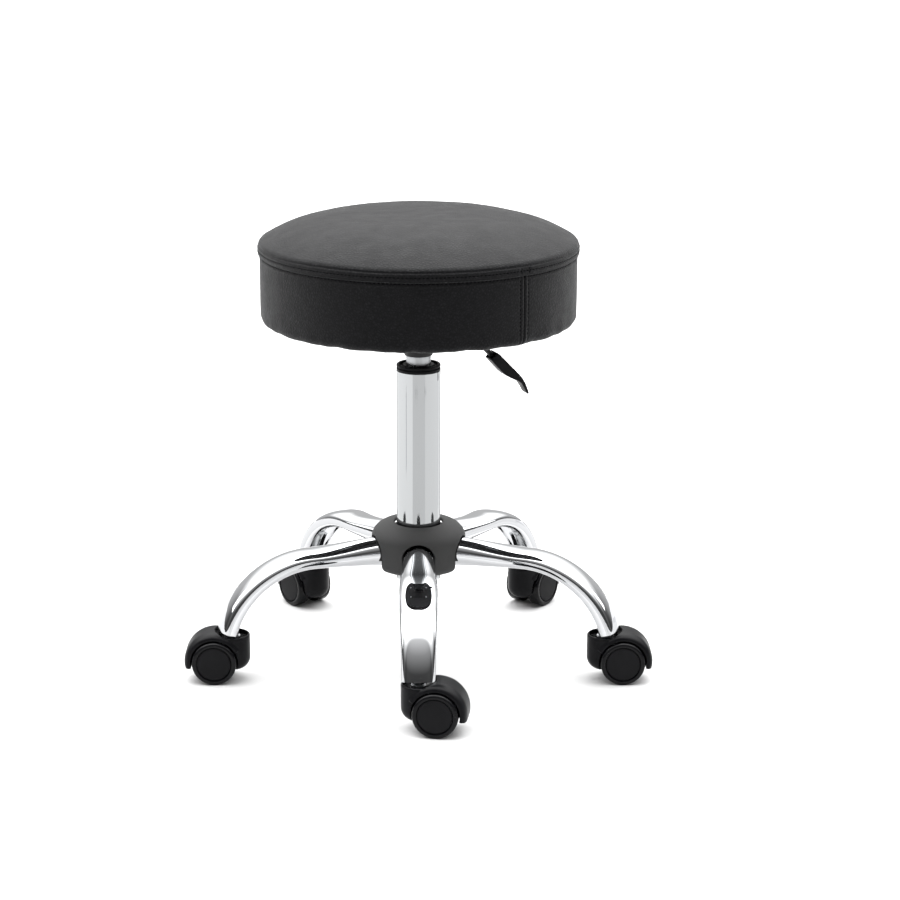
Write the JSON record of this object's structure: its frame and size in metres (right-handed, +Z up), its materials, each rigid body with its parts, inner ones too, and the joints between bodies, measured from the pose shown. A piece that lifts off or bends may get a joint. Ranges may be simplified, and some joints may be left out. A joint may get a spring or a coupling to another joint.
{
  "type": "rolling stylist stool",
  "caption": "Low round stool with a black padded seat, a lever-operated gas lift, a chromed star base of bent legs and twin-wheel swivel casters.",
  "frame": {"origin": "on the floor, on the axis of the column", "axes": "+Z up along the column, -Y towards the front leg, +X to the right of it; the release lever points about 21 degrees back from +X"},
  "size_m": [0.5266, 0.4799, 0.52],
  "materials": {
    "chromed_tube": "mirror bright chrome plate",
    "moulded_black_nylon": "fine moulded texture",
    "wheel_nylon": "smooth moulded tread, matt face",
    "black_faux_leather": "soft grained, low sheen",
    "cushion_foam": "open cell foam",
    "birch_plywood": "sanded plywood",
    "nonwoven_backing": "non-woven cloth",
    "black_enamelled_steel": "semi-gloss powder coat",
    "seal_rubber": "smooth rubber",
    "ground_steel_rod": "ground and polished",
    "satin_steel": "satin",
    "zinc_plated_steel": "bright zinc plate"
  },
  "bodies": {
    "base": {"outer_tube": "chromed_tube", "column_bush": "moulded_black_nylon", "hub_sleeve": "black_enamelled_steel", "hub_cover": "moulded_black_nylon", "tube_base_disc": "zinc_plated_steel", "bearing_lower_race": "zinc_plated_steel", "bearing_balls": "zinc_plated_steel", "stem_sockets": "zinc_plated_steel", "socket_screws": "zinc_plated_steel", "leg_1": "chromed_tube", "leg_2": "chromed_tube", "leg_3": "chromed_tube", "leg_4": "chromed_tube", "leg_5": "chromed_tube", "caster_1_stem": "zinc_plated_steel", "caster_2_stem": "zinc_plated_steel", "caster_3_stem": "zinc_plated_steel", "caster_4_stem": "zinc_plated_steel", "caster_5_stem": "zinc_plated_steel"},
    "rod": {"piston_rod": "ground_steel_rod", "piston": "seal_rubber", "bearing_upper_race": "zinc_plated_steel", "rod_clip": "zinc_plated_steel"},
    "seat": {"gas_cylinder": "satin_steel", "cylinder_seal": "seal_rubber", "taper_socket": "black_enamelled_steel", "mounting_plate": "black_enamelled_steel", "lever_bracket": "black_enamelled_steel", "lever_pin": "zinc_plated_steel", "plate_bolts": "zinc_plated_steel", "tee_nuts": "zinc_plated_steel", "seat_board": "birch_plywood", "seat_foam": "cushion_foam", "cover_top_panel": "black_faux_leather", "cover_side_band": "black_faux_leather", "dust_cover": "nonwoven_backing", "cover_staples": "zinc_plated_steel"},
    "button": {"release_button": "satin_steel"},
    "lever": {"lever_rod": "black_enamelled_steel", "lever_handle": "moulded_black_nylon"},
    "caster_1": {"caster_1_housing": "moulded_black_nylon", "caster_1_axle": "zinc_plated_steel"},
    "caster_1_left": {"caster_1_wheel_left": "wheel_nylon"},
    "caster_1_right": {"caster_1_wheel_right": "wheel_nylon"},
    "caster_2": {"caster_2_housing": "moulded_black_nylon", "caster_2_axle": "zinc_plated_steel"},
    "caster_2_left": {"caster_2_wheel_left": "wheel_nylon"},
    "caster_2_right": {"caster_2_wheel_right": "wheel_nylon"},
    "caster_3": {"caster_3_housing": "moulded_black_nylon", "caster_3_axle": "zinc_plated_steel"},
    "caster_3_left": {"caster_3_wheel_left": "wheel_nylon"},
    "caster_3_right": {"caster_3_wheel_right": "wheel_nylon"},
    "caster_4": {"caster_4_housing": "moulded_black_nylon", "caster_4_axle": "zinc_plated_steel"},
    "caster_4_left": {"caster_4_wheel_left": "wheel_nylon"},
    "caster_4_right": {"caster_4_wheel_right": "wheel_nylon"},
    "caster_5": {"caster_5_housing": "moulded_black_nylon", "caster_5_axle": "zinc_plated_steel"},
    "caster_5_left": {"caster_5_wheel_left": "wheel_nylon"},
    "caster_5_right": {"caster_5_wheel_right": "wheel_nylon"}
  },
  "joints": [
    {"name": "seat_swivel", "type": "hinge", "parent": "base", "child": "rod", "pos_m": [0, 0, 0.1], "axis": [0, 0, 1], "continuous": true},
    {"name": "seat_lift", "type": "slide", "parent": "rod", "child": "seat", "axis": [0, 0, 1], "range_m": [0, 0.19]},
    {"name": "lever_pull", "type": "hinge", "parent": "seat", "child": "lever", "pos_m": [0.02977, 0.01173, 0.392], "axis": [0.3665, -0.9304, 0], "range_deg": [0, 5.4]},
    {"name": "button_press", "type": "slide", "parent": "seat", "child": "button", "axis": [0, 0, -1], "range_m": [0, 0.0033], "stiffness_N_per_m": 150},
    {"name": "caster_1_swivel", "type": "hinge", "parent": "base", "child": "caster_1", "pos_m": [0, -0.2195, 0.05], "axis": [0, 0, 1], "continuous": true},
    {"name": "caster_1_roll_left", "type": "hinge", "parent": "caster_1", "child": "caster_1_left", "pos_m": [0.02028, -0.22253, 0.025], "axis": [0.1478, 0.989, 0], "continuous": true},
    {"name": "caster_1_roll_right", "type": "hinge", "parent": "caster_1", "child": "caster_1_right", "pos_m": [0.02028, -0.22253, 0.025], "axis": [0.1478, 0.989, 0], "continuous": true},
    {"name": "caster_2_swivel", "type": "hinge", "parent": "base", "child": "caster_2", "pos_m": [0.20876, -0.06783, 0.05], "axis": [0, 0, 1], "continuous": true},
    {"name": "caster_2_roll_left", "type": "hinge", "parent": "caster_2", "child": "caster_2_left", "pos_m": [0.22926, -0.06783, 0.025], "axis": [0, 1, 0], "continuous": true},
    {"name": "caster_2_roll_right", "type": "hinge", "parent": "caster_2", "child": "caster_2_right", "pos_m": [0.22926, -0.06783, 0.025], "axis": [0, 1, 0], "continuous": true},
    {"name": "caster_3_swivel", "type": "hinge", "parent": "base", "child": "caster_3", "pos_m": [0.12902, 0.17758, 0.05], "axis": [0, 0, 1], "continuous": true},
    {"name": "caster_3_roll_left", "type": "hinge", "parent": "caster_3", "child": "caster_3_left", "pos_m": [0.14107, 0.19416, 0.025], "axis": [-0.809, 0.5878, 0], "continuous": true},
    {"name": "caster_3_roll_right", "type": "hinge", "parent": "caster_3", "child": "caster_3_right", "pos_m": [0.14107, 0.19416, 0.025], "axis": [-0.809, 0.5878, 0], "continuous": true},
    {"name": "caster_4_swivel", "type": "hinge", "parent": "base", "child": "caster_4", "pos_m": [-0.12902, 0.17758, 0.05], "axis": [0, 0, 1], "continuous": true},
    {"name": "caster_4_roll_left", "type": "hinge", "parent": "caster_4", "child": "caster_4_left", "pos_m": [-0.14107, 0.19416, 0.025], "axis": [-0.809, -0.5878, 0], "continuous": true},
    {"name": "caster_4_roll_right", "type": "hinge", "parent": "caster_4", "child": "caster_4_right", "pos_m": [-0.14107, 0.19416, 0.025], "axis": [-0.809, -0.5878, 0], "continuous": true},
    {"name": "caster_5_swivel", "type": "hinge", "parent": "base", "child": "caster_5", "pos_m": [-0.20876, -0.06783, 0.05], "axis": [0, 0, 1], "continuous": true},
    {"name": "caster_5_roll_left", "type": "hinge", "parent": "caster_5", "child": "caster_5_left", "pos_m": [-0.22926, -0.06783, 0.025], "axis": [0, -1, 0], "continuous": true},
    {"name": "caster_5_roll_right", "type": "hinge", "parent": "caster_5", "child": "caster_5_right", "pos_m": [-0.22926, -0.06783, 0.025], "axis": [0, -1, 0], "continuous": true}
  ],
  "couplings": [
    {"joint": "button_press", "follows": "lever_pull", "m_per_rad": 0.034}
  ]
}
